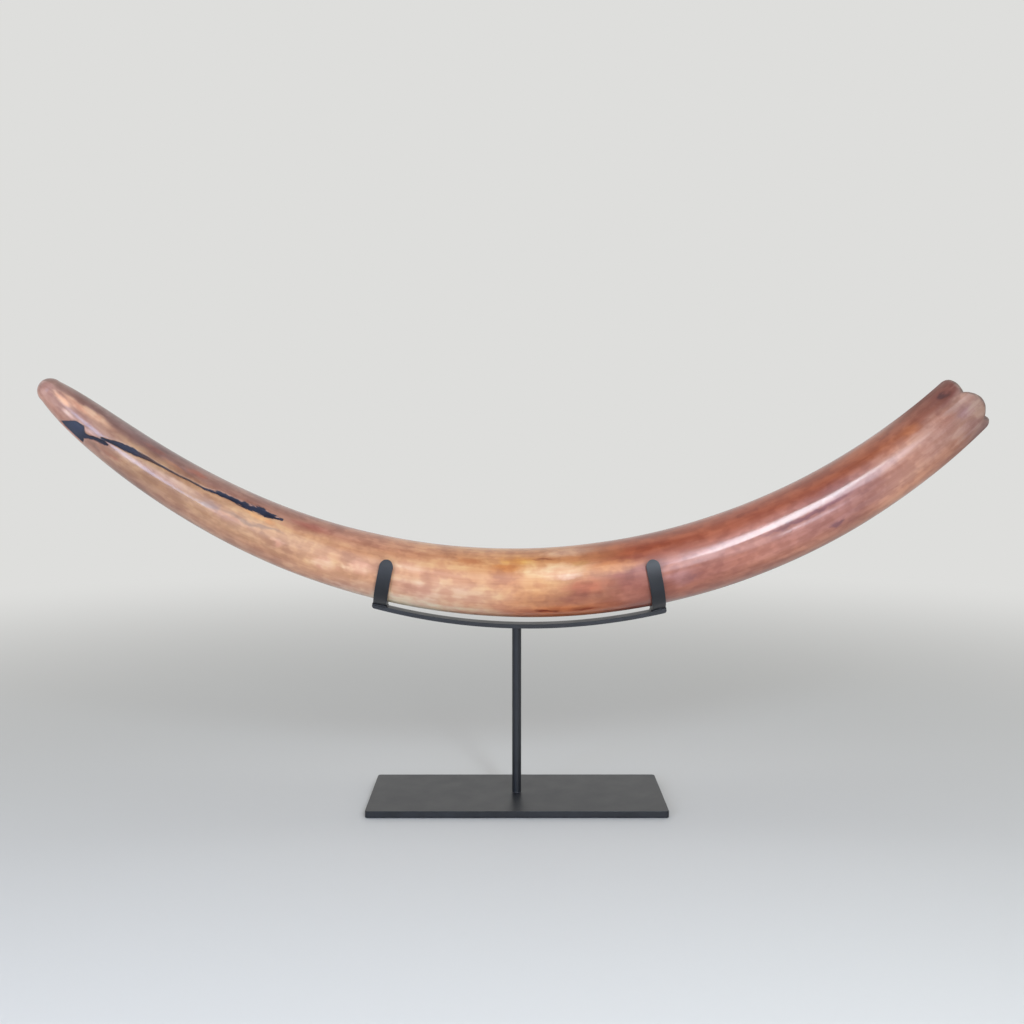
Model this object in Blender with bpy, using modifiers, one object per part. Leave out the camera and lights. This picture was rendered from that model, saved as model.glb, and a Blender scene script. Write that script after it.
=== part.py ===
"""A mammoth tusk lying in a steel cradle stand.

Units are metres and +Z is up. The origin is the centre of the base plate's underside.
The tusk curves from its tip at -X, down through the cradle, to its broken root end at +X.
Anyone standing in front of the object stands at -Y.
"""
import math

import bmesh
import bpy
import numpy as np
from mathutils import Matrix, Vector

# Gap left between pieces that touch, so that each stays a solid of its own.
CONTACT_GAP = 0.0003

# Base plate
PLATE_WIDTH = 0.350
PLATE_DEPTH = 0.150
PLATE_THICKNESS = 0.008
PLATE_CORNER_RADIUS = 0.004

# Post and the flat bars of the cradle
POST_DIAMETER = 0.011
CRADLE_WIDTH = 0.020
CRADLE_THICKNESS = 0.005
CRADLE_LOW_TOP = 0.2140
CRADLE_OVERHANG = 0.001
STRAP_WIDTH = 0.016
STRAP_THICKNESS = 0.005
STRAP_CLEARANCE = 0.0006
STRAP_RISE = math.radians(21.0)
STRAP_STATIONS = {"strap_left": -0.160, "strap_right": 0.1545}
EDGE_EASE = 0.0006

# Tusk centreline. Lengths along it are counted from its lowest point, negative towards the tip.
LOW_POINT = Vector((0.0055, 0.0, 0.2625))
TIP_REACH = 0.608
ROOT_REACH = 0.5836
BODY_CURVATURE = 1.330
TIP_CURVATURE = 0.707
TIP_EASE_START = 0.245
ROOT_CURVATURE = 1.105
ROOT_EASE_START = 0.100
SPIRAL_RATE = 0.4

# Tusk section. Distances are counted from the centre of the tip's rounded end.
FULL_RADIUS = 0.0427
FULL_RADIUS_AT = 0.807
TIP_THINNING = 0.0193
TIP_THINNING_POWER = 1.79
TIP_NIP = 0.0083
TIP_NIP_LENGTH = 0.0375
ROOT_RADIUS = 0.0373

# Broken root end: a wall around the pulp cavity, its edge left in rounded lobes.
# Each lobe is (angle around the tusk, height, half width); 0 degrees faces -Y, 90 is the top.
RIM_WALL = 0.012
RIM_ROUNDING = 0.006
RIM_BLEND = 0.045
RIM_LOBES = (
    (88.0, 0.0072, 49.0),
    (4.0, 0.0094, 33.0),
    (-57.0, 0.0052, 24.0),
    (-112.0, 0.0078, 34.0),
    (-176.0, 0.0050, 36.0),
    (137.0, 0.0035, 20.0),
)
CAVITY_DEPTH = 0.085
CAVITY_POWER = 0.85

# Mesh density. The rounded end steps are degrees of the half circle that ends a strap.
ROUND_END_STEPS = (28.0, 45.0, 60.0, 75.0)
BAR_PIECE = 0.006
POST_SIDES = 48
TUSK_SIDES = 36
TIP_RINGS = 6
BODY_RINGS = 72
RIM_RINGS = 5
CAVITY_RINGS = 11
CENTRELINE_SAMPLES = 1201


def clear_scene():
    for obj in list(bpy.data.objects):
        bpy.data.objects.remove(obj, do_unlink=True)


def material(name, colour, roughness, metallic=0.0):
    mat = bpy.data.materials.new(name)
    mat.use_nodes = True
    shader = mat.node_tree.nodes["Principled BSDF"]
    shader.inputs["Base Color"].default_value = (*colour, 1.0)
    shader.inputs["Roughness"].default_value = roughness
    shader.inputs["Metallic"].default_value = metallic
    return mat


def link_object(name, bm, mat, collection):
    """Turn a bmesh into a named object and put it in the collection."""
    bmesh.ops.recalc_face_normals(bm, faces=bm.faces)
    mesh = bpy.data.meshes.new(name)
    bm.to_mesh(mesh)
    bm.free()
    mesh.materials.append(mat)
    obj = bpy.data.objects.new(name, mesh)
    collection.objects.link(obj)
    return obj


def shade_round(obj, sharp_from=40.0):
    obj.data.shade_smooth()
    obj.data.set_sharp_from_angle(angle=math.radians(sharp_from))


def ease_edges(obj, segments, width=EDGE_EASE, sharp_from=50.0):
    bevel = obj.modifiers.new("eased edges", "BEVEL")
    bevel.width = width
    bevel.segments = segments
    bevel.limit_method = "ANGLE"
    bevel.angle_limit = math.radians(sharp_from)


class Centreline:
    """The tusk's axis: a bend that opens towards both ends, with a slow sideways spiral."""

    def __init__(self):
        self.s = np.linspace(-TIP_REACH - 0.05, ROOT_REACH + 0.05, CENTRELINE_SAMPLES)
        tip_side = np.clip(-self.s - TIP_EASE_START, 0.0, None)
        root_side = np.clip(self.s - ROOT_EASE_START, 0.0, None)
        tip_run = TIP_REACH - TIP_EASE_START
        root_run = ROOT_REACH - ROOT_EASE_START
        pitch = BODY_CURVATURE * self.s
        pitch += (BODY_CURVATURE - TIP_CURVATURE) * tip_side**3 / (3.0 * tip_run**2)
        pitch -= (BODY_CURVATURE - ROOT_CURVATURE) * root_side**3 / (3.0 * root_run**2)
        drift = np.arctan(SPIRAL_RATE * BODY_CURVATURE * self.s**2 / 2.0)
        self.heading = np.stack(
            (np.cos(pitch) * np.cos(drift), np.sin(drift), np.sin(pitch) * np.cos(drift)), axis=1
        )
        step = self.s[1] - self.s[0]
        middles = (self.heading[1:] + self.heading[:-1]) / 2.0
        path = np.vstack((np.zeros(3), np.cumsum(middles * step, axis=0)))
        low = [np.interp(0.0, self.s, path[:, k]) for k in range(3)]
        self.path = path - low + np.array(LOW_POINT)

    def frame(self, s):
        """Place and turn of the tusk at s: local X along the axis, Z up, Y to the back."""
        place = Vector([np.interp(s, self.s, self.path[:, k]) for k in range(3)])
        along = Vector([np.interp(s, self.s, self.heading[:, k]) for k in range(3)]).normalized()
        up = (Vector((0.0, 0.0, 1.0)) - along * along.z).normalized()
        back = up.cross(along)
        turn = Matrix((along, back, up)).transposed()
        return Matrix.Translation(place) @ turn.to_4x4()


def tusk_radius(s):
    """Radius of the tusk's round section at s."""
    distance = max(s + TIP_REACH, 0.0)
    if distance < FULL_RADIUS_AT:
        short = (FULL_RADIUS_AT - distance) / FULL_RADIUS_AT
        radius = FULL_RADIUS - TIP_THINNING * short**TIP_THINNING_POWER
    else:
        past = (distance - FULL_RADIUS_AT) / (TIP_REACH + ROOT_REACH - FULL_RADIUS_AT)
        radius = FULL_RADIUS - (FULL_RADIUS - ROOT_RADIUS) * past**2
    return radius - TIP_NIP * math.exp(-distance / TIP_NIP_LENGTH)


def rim_height(angle):
    """How far the broken edge stands out at an angle around the tusk, in degrees."""
    height = 0.0
    for centre, lobe_height, half_width in RIM_LOBES:
        away = abs((angle - centre + 180.0) % 360.0 - 180.0)
        if away < half_width:
            height += lobe_height * math.cos(math.pi * away / (2.0 * half_width))**0.8
    return height


def tusk_profile():
    """Rings from the tip's point to the floor of the pulp cavity.

    Each ring is (s, radius, share of the rim's lobes that it follows).
    """
    rings = []
    tip_radius = tusk_radius(-TIP_REACH)
    for i in range(TIP_RINGS):
        lean = math.radians(90.0) * i / TIP_RINGS
        rings.append((-TIP_REACH - tip_radius * math.cos(lean), tip_radius * math.sin(lean), 0.0))
    rim_start = ROOT_REACH - RIM_ROUNDING
    for i in range(BODY_RINGS):
        s = -TIP_REACH + (rim_start + TIP_REACH) * i / (BODY_RINGS - 1)
        share = min(max((s - rim_start + RIM_BLEND) / RIM_BLEND, 0.0), 1.0)**2
        rings.append((s, tusk_radius(s), share))
    wall_middle = ROOT_RADIUS - RIM_WALL / 2.0
    for i in range(1, RIM_RINGS + 1):
        lean = math.radians(180.0) * i / (RIM_RINGS + 1)
        radius = wall_middle + RIM_WALL / 2.0 * math.cos(lean)
        rings.append((rim_start + RIM_ROUNDING * math.sin(lean), radius, 1.0))
    for i in range(CAVITY_RINGS + 1):
        depth = i / CAVITY_RINGS
        radius = (ROOT_RADIUS - RIM_WALL) * (1.0 - depth)**CAVITY_POWER
        rings.append((rim_start - CAVITY_DEPTH * depth, radius, (1.0 - depth)**2))
    return rings


def make_tusk(centreline, mat, collection):
    """The tusk: a ball drawn out along the centreline, its far side pushed in as the cavity."""
    rings = tusk_profile()
    bm = bmesh.new()
    bmesh.ops.create_uvsphere(bm, u_segments=TUSK_SIDES, v_segments=len(rings) - 1, radius=1.0)
    for vert in bm.verts:
        polar = math.acos(max(-1.0, min(1.0, vert.co.z)))
        s, radius, share = rings[round(polar / math.pi * (len(rings) - 1))]
        angle = math.atan2(vert.co.y, vert.co.x)
        s += share * rim_height(math.degrees(angle))
        around = Vector((0.0, -radius * math.cos(angle), radius * math.sin(angle)))
        vert.co = centreline.frame(s) @ around
    tusk = link_object("tusk", bm, mat, collection)
    shade_round(tusk, 60.0)
    return tusk


def make_base_plate(mat, collection):
    """The base: a flat plate with small round corners."""
    bm = bmesh.new()
    bmesh.ops.create_cube(bm, size=1.0)
    bmesh.ops.scale(bm, vec=(PLATE_WIDTH, PLATE_DEPTH, PLATE_THICKNESS), verts=bm.verts)
    uprights = [e for e in bm.edges if abs(e.verts[0].co.z - e.verts[1].co.z) > PLATE_THICKNESS / 2]
    bmesh.ops.bevel(
        bm, geom=uprights, offset=PLATE_CORNER_RADIUS, segments=4, profile=0.5, affect="EDGES"
    )
    plate = link_object("base_plate", bm, mat, collection)
    plate.location.z = PLATE_THICKNESS / 2.0
    ease_edges(plate, 2)
    shade_round(plate)
    return plate


def circle_through(low, left, right):
    """Centre and radius of the circle through three (x, z) points."""
    low, left, right = (np.array(point) for point in (low, left, right))
    chords = np.array((left - low, right - low))
    reaches = np.array([(point @ point - low @ low) / 2.0 for point in (left, right)])
    centre = np.linalg.solve(chords, reaches)
    return centre, float(np.linalg.norm(centre - low))


def strip_places(length, half_width, pieces, rounded):
    """Distances along a strip where it has a row of points, closer together in rounded ends."""
    cap = [half_width * (1.0 - math.cos(math.radians(a))) for a in ROUND_END_STEPS] if rounded else []
    start = half_width if rounded else 0.0
    middle = [start + (length - 2.0 * start) * i / pieces for i in range(pieces + 1)]
    return cap + middle + [length - step for step in reversed(cap)]


def make_flat_bar(name, radius, first, last, width, thickness, rounded, mat, collection):
    """A flat bar bent about its local X axis; radius is its inner face's.

    It runs from the angle first to last, in radians from local +Z towards +Y.
    """
    length = radius * (last - first)
    pieces = round(length / BAR_PIECE)
    places = strip_places(length, width / 2.0, pieces, rounded)
    bm = bmesh.new()
    bmesh.ops.create_grid(bm, x_segments=len(places) - 1, y_segments=2, size=1.0)
    for vert in bm.verts:
        place = places[round((vert.co.x + 1.0) / 2.0 * (len(places) - 1))]
        short = max(width / 2.0 - min(place, length - place), 0.0) if rounded else 0.0
        reach = math.sqrt((width / 2.0)**2 - short**2)
        angle = first + place / radius
        vert.co = Vector((-reach * vert.co.y, radius * math.sin(angle), radius * math.cos(angle)))
    mesh = bpy.data.meshes.new(name)
    bm.to_mesh(mesh)
    bm.free()
    mesh.materials.append(mat)
    bar = bpy.data.objects.new(name, mesh)
    collection.objects.link(bar)
    thicken = bar.modifiers.new("thickness", "SOLIDIFY")
    thicken.thickness = thickness
    thicken.offset = 1.0
    ease_edges(bar, 1)
    shade_round(bar)
    return bar


def make_strap(name, frame, tusk_size, mat, collection):
    """A strap bent round the tusk's underside, its two rounded ends standing at front and back."""
    end = math.radians(90.0) - STRAP_RISE
    inner = tusk_size + STRAP_CLEARANCE
    strap = make_flat_bar(
        name, inner, end, 2.0 * math.pi - end, STRAP_WIDTH, STRAP_THICKNESS, True, mat, collection
    )
    strap.matrix_world = frame
    return strap


def make_cradle_bar(centreline, mat, collection):
    """The long flat bar under the tusk, bent so that both straps stand on it."""
    feet = {}
    for name, s in STRAP_STATIONS.items():
        depth = tusk_radius(s) + STRAP_CLEARANCE + STRAP_THICKNESS + CONTACT_GAP
        foot = centreline.frame(s) @ Vector((0.0, 0.0, -depth))
        feet[name] = (foot.x, foot.z)
    centre, radius = circle_through((0.0, CRADLE_LOW_TOP), feet["strap_left"], feet["strap_right"])
    spare = (STRAP_WIDTH / 2.0 + CRADLE_OVERHANG) / radius
    left_lean = math.asin((centre[0] - feet["strap_left"][0]) / radius) + spare
    right_lean = math.asin((feet["strap_right"][0] - centre[0]) / radius) + spare
    bar = make_flat_bar(
        "cradle_bar", radius, math.pi - left_lean, math.pi + right_lean,
        CRADLE_WIDTH, CRADLE_THICKNESS, False, mat, collection
    )
    bar.location = (centre[0], 0.0, centre[1])
    bar.rotation_euler.z = math.radians(90.0)
    return bar


def make_post(mat, collection):
    """The round post between the plate and the cradle bar."""
    foot = PLATE_THICKNESS + CONTACT_GAP
    head = CRADLE_LOW_TOP - CRADLE_THICKNESS - CONTACT_GAP
    bm = bmesh.new()
    bmesh.ops.create_cone(
        bm, cap_ends=True, segments=POST_SIDES, depth=head - foot,
        radius1=POST_DIAMETER / 2.0, radius2=POST_DIAMETER / 2.0
    )
    post = link_object("post", bm, mat, collection)
    post.location.z = (foot + head) / 2.0
    shade_round(post)
    return post


def build():
    clear_scene()
    collection = bpy.data.collections.new("mammoth_tusk_on_stand")
    bpy.context.scene.collection.children.link(collection)
    ivory = material("old_ivory", (0.47, 0.24, 0.13), 0.35)
    steel = material("black_steel", (0.028, 0.028, 0.031), 0.5)
    centreline = Centreline()
    make_tusk(centreline, ivory, collection)
    make_base_plate(steel, collection)
    make_post(steel, collection)
    make_cradle_bar(centreline, steel, collection)
    for name, s in STRAP_STATIONS.items():
        make_strap(name, centreline.frame(s), tusk_radius(s), steel, collection)


build()
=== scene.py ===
"""Looks of a mammoth tusk held in a steel cradle stand, put together from the base plate up.

Units are metres, +Z is up, the tusk's tip is at -X and whoever looks at it stands at -Y.
"""
import math

import bmesh
import bpy
import numpy as np
from mathutils import Matrix, Vector


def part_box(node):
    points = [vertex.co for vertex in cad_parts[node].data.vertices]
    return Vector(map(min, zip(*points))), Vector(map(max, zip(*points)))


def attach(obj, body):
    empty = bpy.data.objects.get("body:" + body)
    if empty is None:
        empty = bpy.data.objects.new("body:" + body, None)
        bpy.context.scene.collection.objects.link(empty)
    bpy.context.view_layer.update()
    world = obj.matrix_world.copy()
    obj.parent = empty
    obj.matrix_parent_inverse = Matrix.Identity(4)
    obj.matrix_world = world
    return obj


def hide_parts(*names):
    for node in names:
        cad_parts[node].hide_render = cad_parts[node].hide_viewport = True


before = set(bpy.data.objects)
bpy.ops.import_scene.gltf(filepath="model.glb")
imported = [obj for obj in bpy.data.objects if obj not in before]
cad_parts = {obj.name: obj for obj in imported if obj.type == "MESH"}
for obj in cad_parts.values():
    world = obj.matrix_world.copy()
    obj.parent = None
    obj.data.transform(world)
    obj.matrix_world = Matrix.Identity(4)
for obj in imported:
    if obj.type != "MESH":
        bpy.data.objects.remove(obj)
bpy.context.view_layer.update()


# --- Base plate ---------------------------------------------------------------------------
# The foot of the stand: a piece of 8 mm mild steel plate with small round corners. Its edges
# are broken with a file before it is powder coated satin black, and it lies flat on the table.

PLATE_LOW, PLATE_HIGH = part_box("base_plate")
PLATE_CORNER_RADIUS = 0.004
PLATE_CORNER_STEPS = 10
PLATE_EDGE_ROUNDING = 0.0007


def linear(hex_colour):
    """An sRGB hex colour as linear red, green, blue and alpha."""
    channels = [int(hex_colour[i:i + 2], 16) / 255.0 for i in (1, 3, 5)]
    return [c / 12.92 if c <= 0.04045 else ((c + 0.055) / 1.055)**2.4 for c in channels] + [1.0]


def put(tree, kind, inputs=None, stops=(), **settings):
    """Add a node to a tree: its settings, the stops of its ramp, and its inputs' values or links.
    A node given for an input is linked from its first output."""
    node = tree.nodes.new(kind)
    for name, value in settings.items():
        setattr(node, name, value)
    for number, (place, colour) in enumerate(stops):
        ramp = node.color_ramp.elements
        stop = ramp[number] if number < 2 else ramp.new(place)
        stop.position = place
        stop.color = linear(colour) if isinstance(colour, str) else (colour, colour, colour, 1.0)
    for key, value in (inputs or {}).items():
        if isinstance(value, bpy.types.Node):
            value = value.outputs[0]
        if isinstance(value, bpy.types.NodeSocket):
            tree.links.new(value, node.inputs[key])
        else:
            node.inputs[key].default_value = value
    return node


def new_piece(name, mesh):
    """An object with that mesh, at the origin."""
    mesh.name = name
    piece = bpy.data.objects.new(name, mesh)
    bpy.context.scene.collection.objects.link(piece)
    return piece


def round_edges(piece, width, segments=3):
    """Break a piece's sharp edges, with the flats kept flat in the shading."""
    bevel = piece.modifiers.new("broken edges", "BEVEL")
    bevel.width = width
    bevel.segments = segments
    bevel.limit_method = "ANGLE"
    bevel.angle_limit = math.radians(50.0)
    bevel.harden_normals = True
    piece.data.shade_smooth()


def make_powder_coat():
    """Satin black polyester powder coat on mild steel: it gives the eye a soft grey sheen with a
    faint orange-peel waviness, and wide patches that handling has made a little duller."""
    ORANGE_PEEL, PAINT_GRIT, HANDLING_MARKS = 0.0016, 0.0004, 0.030
    CLEAN, MARKED = 0.30, 0.70
    CLEAN_ROUGHNESS, MARKED_ROUGHNESS = 0.36, 0.44
    material = bpy.data.materials.new("satin_black_powder_coat")
    material.use_nodes = True
    tree = material.node_tree
    shader = tree.nodes["Principled BSDF"]
    place = put(tree, "ShaderNodeTexCoord").outputs["Object"]
    peel = put(tree, "ShaderNodeTexNoise", {
        "Vector": place, "Scale": 1.0 / ORANGE_PEEL, "Detail": 2.0})
    # The paint's grit is finer than this; it is drawn as coarse as it needs to show.
    grit = put(tree, "ShaderNodeTexNoise", {
        "Vector": place, "Scale": 1.0 / PAINT_GRIT, "Detail": 1.0})
    marks = put(tree, "ShaderNodeTexNoise", {
        "Vector": place, "Scale": 1.0 / HANDLING_MARKS, "Detail": 6.0, "Roughness": 0.6})
    colour = put(tree, "ShaderNodeValToRGB", {"Fac": marks}, stops=(
        (CLEAN, "#191B1F"), (MARKED, "#222429")))
    tree.links.new(colour.outputs[0], shader.inputs["Base Color"])
    roughness = put(tree, "ShaderNodeMapRange", {
        "Value": marks, "From Min": CLEAN, "From Max": MARKED,
        "To Min": CLEAN_ROUGHNESS, "To Max": MARKED_ROUGHNESS})
    tree.links.new(roughness.outputs[0], shader.inputs["Roughness"])
    waves = put(tree, "ShaderNodeBump", {"Height": peel, "Strength": 0.12, "Distance": 0.0002})
    sand = put(tree, "ShaderNodeBump", {
        "Height": grit, "Normal": waves, "Strength": 0.06, "Distance": 0.0001})
    tree.links.new(sand.outputs[0], shader.inputs["Normal"])
    shader.inputs["IOR"].default_value = 1.5
    return material


powder_coat = make_powder_coat()


def make_base_plate():
    """A block with its four upright corners rounded."""
    size = PLATE_HIGH - PLATE_LOW
    bm = bmesh.new()
    bmesh.ops.create_cube(bm, size=1.0)
    bmesh.ops.scale(bm, vec=size, verts=bm.verts)
    bmesh.ops.translate(bm, vec=(PLATE_HIGH + PLATE_LOW) / 2.0, verts=bm.verts)
    uprights = [e for e in bm.edges if abs(e.verts[0].co.z - e.verts[1].co.z) > size.z / 2.0]
    bmesh.ops.bevel(
        bm, geom=uprights, offset=PLATE_CORNER_RADIUS, segments=PLATE_CORNER_STEPS, profile=0.5,
        affect="EDGES")
    mesh = bpy.data.meshes.new("base_plate")
    bm.to_mesh(mesh)
    bm.free()
    plate = new_piece("plate", mesh)
    round_edges(plate, PLATE_EDGE_ROUNDING, 4)
    mesh.materials.append(powder_coat)
    return plate


plate = make_base_plate()
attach(plate, "root")
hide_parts("base_plate")


# --- Post ---------------------------------------------------------------------------------
# An 11 mm round steel bar, welded upright in the middle of the plate and under the cradle bar.
# The welds are ground to small smooth fillets and disappear under the same powder coat.

POST_LOW, POST_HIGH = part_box("post")
POST_RADIUS = (POST_HIGH.x - POST_LOW.x) / 2.0
POST_HEAD_SINK = 0.0004
POST_FILLET = 0.0012
POST_SIDES = 64
FILLET_RINGS = 6


def make_post():
    """A round bar that flares into a small fillet of weld at its foot and its head."""
    foot, head = PLATE_HIGH.z, POST_HIGH.z + POST_HEAD_SINK
    rings = []
    for i in range(FILLET_RINGS + 1):
        lean = math.radians(90.0) * i / FILLET_RINGS
        flare = POST_FILLET * (1.0 - math.sin(lean))
        rings.append((foot + POST_FILLET * (1.0 - math.cos(lean)), POST_RADIUS + flare))
    rings += [(head + foot - z, radius) for z, radius in reversed(rings)]
    bm = bmesh.new()
    bmesh.ops.create_cone(bm, cap_ends=True, segments=POST_SIDES, radius1=1.0, radius2=1.0, depth=1.0)
    sides = [f for f in bm.faces if len(f.verts) == 4]
    uprights = [e for e in bm.edges if all(f in sides for f in e.link_faces)]
    bmesh.ops.subdivide_edges(bm, edges=uprights, cuts=len(rings) - 2)
    for vert in bm.verts:
        z, radius = rings[round((vert.co.z + 0.5) * (len(rings) - 1))]
        vert.co = Vector((vert.co.x * radius, vert.co.y * radius, z))
    mesh = bpy.data.meshes.new("post")
    bm.to_mesh(mesh)
    bm.free()
    mesh.shade_smooth()
    mesh.set_sharp_from_angle(angle=math.radians(60.0))
    mesh.materials.append(powder_coat)
    return new_piece("upright", mesh)


post = make_post()
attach(post, "root")
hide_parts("post")


# --- The tusk's own bend ------------------------------------------------------------------
# The cradle is made to the tusk, so the tusk's curve and thickness come before the flat bars.
# Lengths along the tusk count from its lowest point, negative towards the tip.

LOW_POINT = Vector((0.0055, 0.0, 0.2625))
TIP_REACH = 0.608
ROOT_REACH = 0.5836
BODY_CURVATURE = 1.330
TIP_CURVATURE = 0.707
TIP_EASE_START = 0.245
ROOT_CURVATURE = 1.105
ROOT_EASE_START = 0.100
SPIRAL_RATE = 0.4
FULL_RADIUS = 0.0427
FULL_RADIUS_AT = 0.807
TIP_THINNING = 0.0193
TIP_THINNING_POWER = 1.79
TIP_NIP = 0.0083
TIP_NIP_LENGTH = 0.0375
ROOT_RADIUS = 0.0373
SPARE_CENTRELINE = 0.05
CENTRELINE_POINTS = 1201


def trace_centreline():
    """Lengths, places and headings along the tusk's axis, which opens and spirals to both ends."""
    s = np.linspace(-TIP_REACH - SPARE_CENTRELINE, ROOT_REACH + SPARE_CENTRELINE, CENTRELINE_POINTS)
    tip_side = np.clip(-s - TIP_EASE_START, 0.0, None)
    root_side = np.clip(s - ROOT_EASE_START, 0.0, None)
    pitch = BODY_CURVATURE * s
    pitch += (BODY_CURVATURE - TIP_CURVATURE) * tip_side**3 / (3.0 * (TIP_REACH - TIP_EASE_START)**2)
    pitch -= (BODY_CURVATURE - ROOT_CURVATURE) * root_side**3 / (3.0 * (ROOT_REACH - ROOT_EASE_START)**2)
    drift = np.arctan(SPIRAL_RATE * BODY_CURVATURE * s**2 / 2.0)
    heading = np.stack(
        (np.cos(pitch) * np.cos(drift), np.sin(drift), np.sin(pitch) * np.cos(drift)), axis=1)
    middles = (heading[1:] + heading[:-1]) / 2.0
    path = np.vstack((np.zeros(3), np.cumsum(middles * (s[1] - s[0]), axis=0)))
    low = [np.interp(0.0, s, path[:, k]) for k in range(3)]
    return s, path - low + np.array(LOW_POINT), heading


centre_s, centre_path, centre_heading = trace_centreline()


def tusk_frame(s):
    """Place and turn of the tusk at s: local X along its axis, Z up, Y to the back."""
    place = Vector([np.interp(s, centre_s, centre_path[:, k]) for k in range(3)])
    along = Vector([np.interp(s, centre_s, centre_heading[:, k]) for k in range(3)]).normalized()
    up = (Vector((0.0, 0.0, 1.0)) - along * along.z).normalized()
    turn = Matrix((along, up.cross(along), up)).transposed()
    return Matrix.Translation(place) @ turn.to_4x4()


def tusk_radius(s):
    """Radius of the tusk's round section at s."""
    distance = np.maximum(np.asarray(s) + TIP_REACH, 0.0)
    short = np.clip((FULL_RADIUS_AT - distance) / FULL_RADIUS_AT, 0.0, 1.0)
    past = np.clip((distance - FULL_RADIUS_AT) / (TIP_REACH + ROOT_REACH - FULL_RADIUS_AT), 0.0, 1.0)
    radius = FULL_RADIUS - TIP_THINNING * short**TIP_THINNING_POWER
    radius = radius - (FULL_RADIUS - ROOT_RADIUS) * past**2
    return radius - TIP_NIP * np.exp(-distance / TIP_NIP_LENGTH)


# --- Cradle bar and straps ----------------------------------------------------------------
# Flat bars: one long arc under the tusk, and two straps with half-round ends that are rolled to
# the tusk's own thickness. Each is welded across the arc with a small bead and painted over.

BAR_WIDTH = 0.020
BAR_THICKNESS = 0.005
BAR_LOW_TOP = 0.2140
BAR_OVERHANG = 0.001
STRAP_WIDTH = 0.016
STRAP_THICKNESS = 0.005
STRAP_CLEARANCE = 0.0006
STRAP_RISE = math.radians(21.0)
STRAP_STATIONS = {"strap_left": -0.160, "strap_right": 0.1545}
CONTACT_GAP = 0.0003
BAR_EDGE_ROUNDING = 0.0007
BLANK_ROWS = 8
BLANK_STEP = 0.002
ROUND_END_STEPS = 14
BAR_END_ROUNDING = 0.0034
WELD_RADIUS = 0.0015
WELD_SINK = 0.0003
WELD_CORNER = 0.0018
WELD_CORNER_POINTS = 6
WELD_STEP = 0.0006
WELD_SIDES = 14
WELD_RIPPLE = 0.0003
WELD_RIPPLE_LENGTH = 0.002


def start_tree(name, inputs, output):
    """An empty tree with named inputs and one output, and the sockets of its inputs."""
    tree = bpy.data.node_groups.new(name, "GeometryNodeTree")
    for label, kind in inputs.items():
        tree.interface.new_socket(name=label, in_out="INPUT", socket_type="NodeSocket" + kind)
    tree.interface.new_socket(name=output, in_out="OUTPUT", socket_type="NodeSocketGeometry")
    return tree, put(tree, "NodeGroupInput").outputs


def end_tree(tree, shape, material, output):
    """The end of a tree: a shape made real, in its material."""
    real = put(tree, "GeometryNodeRealizeInstances", {"Geometry": shape})
    finished = put(tree, "GeometryNodeSetMaterial", {"Geometry": real, "Material": material})
    put(tree, "NodeGroupOutput", {output: finished})


def make_rolling_tree():
    """Nodes that roll a flat blank, lying along X, round the X axis of the tusk or of the bar."""
    tree, given = start_tree("Rolled flat bar", {
        "Blank": "Geometry", "Inner radius": "Float", "First angle": "Float",
        "Paint": "Material"}, "Bar")
    radius = given["Inner radius"]
    flat = put(tree, "ShaderNodeSeparateXYZ", {0: put(tree, "GeometryNodeInputPosition")}).outputs
    turn = put(tree, "ShaderNodeMath", {0: flat["X"], 1: radius}, operation="DIVIDE")
    angle = put(tree, "ShaderNodeMath", {0: turn, 1: given["First angle"]}, operation="ADD")
    sine = put(tree, "ShaderNodeMath", {0: angle}, operation="SINE")
    cosine = put(tree, "ShaderNodeMath", {0: angle}, operation="COSINE")
    rolled = put(tree, "ShaderNodeCombineXYZ", {
        "X": put(tree, "ShaderNodeMath", {0: flat["Y"], 1: -1.0}, operation="MULTIPLY"),
        "Y": put(tree, "ShaderNodeMath", {0: sine, 1: radius}, operation="MULTIPLY"),
        "Z": put(tree, "ShaderNodeMath", {0: cosine, 1: radius}, operation="MULTIPLY")})
    bent = put(tree, "GeometryNodeSetPosition", {"Geometry": given["Blank"], "Position": rolled})
    end_tree(tree, bent, given["Paint"], "Bar")
    return tree


def run_tree(piece, tree, values):
    """Give a piece the tree as a modifier with those inputs, and keep the result as a plain mesh."""
    sockets = {item.name: item.identifier for item in tree.interface.items_tree}
    modifier = piece.modifiers.new(tree.name, "NODES")
    modifier.node_group = tree
    for name, value in values.items():
        modifier[sockets[name]] = value
    shown = piece.evaluated_get(bpy.context.evaluated_depsgraph_get())
    mesh = bpy.data.meshes.new_from_object(shown)
    piece.modifiers.remove(modifier)
    piece.data = mesh
    mesh.name = piece.name


def cut_blank(name, length, width, rounded):
    """A flat blank lying along X from the origin, with square or half-round ends."""
    half = width / 2.0
    start = half if rounded else BAR_END_ROUNDING
    pieces = round((length - 2.0 * start) / BLANK_STEP)
    places = [start + (length - 2.0 * start) * i / pieces for i in range(pieces + 1)]
    first_lean = 0.5 if rounded else 0.0
    leans = [math.radians(90.0) * (i + first_lean) / ROUND_END_STEPS for i in range(ROUND_END_STEPS)]
    cap = [start * (1.0 - math.cos(lean)) for lean in leans]
    places = cap + places + [length - place for place in reversed(cap)]
    bm = bmesh.new()
    bmesh.ops.create_grid(bm, x_segments=len(places) - 1, y_segments=BLANK_ROWS, size=1.0)
    for vert in bm.verts:
        place = places[round((vert.co.x + 1.0) / 2.0 * (len(places) - 1))]
        short = max(half - min(place, length - place), 0.0) if rounded else 0.0
        vert.co = Vector((place, math.sqrt(half**2 - short**2) * vert.co.y, 0.0))
    mesh = bpy.data.meshes.new(name)
    bm.to_mesh(mesh)
    bm.free()
    return new_piece(name, mesh)


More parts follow.
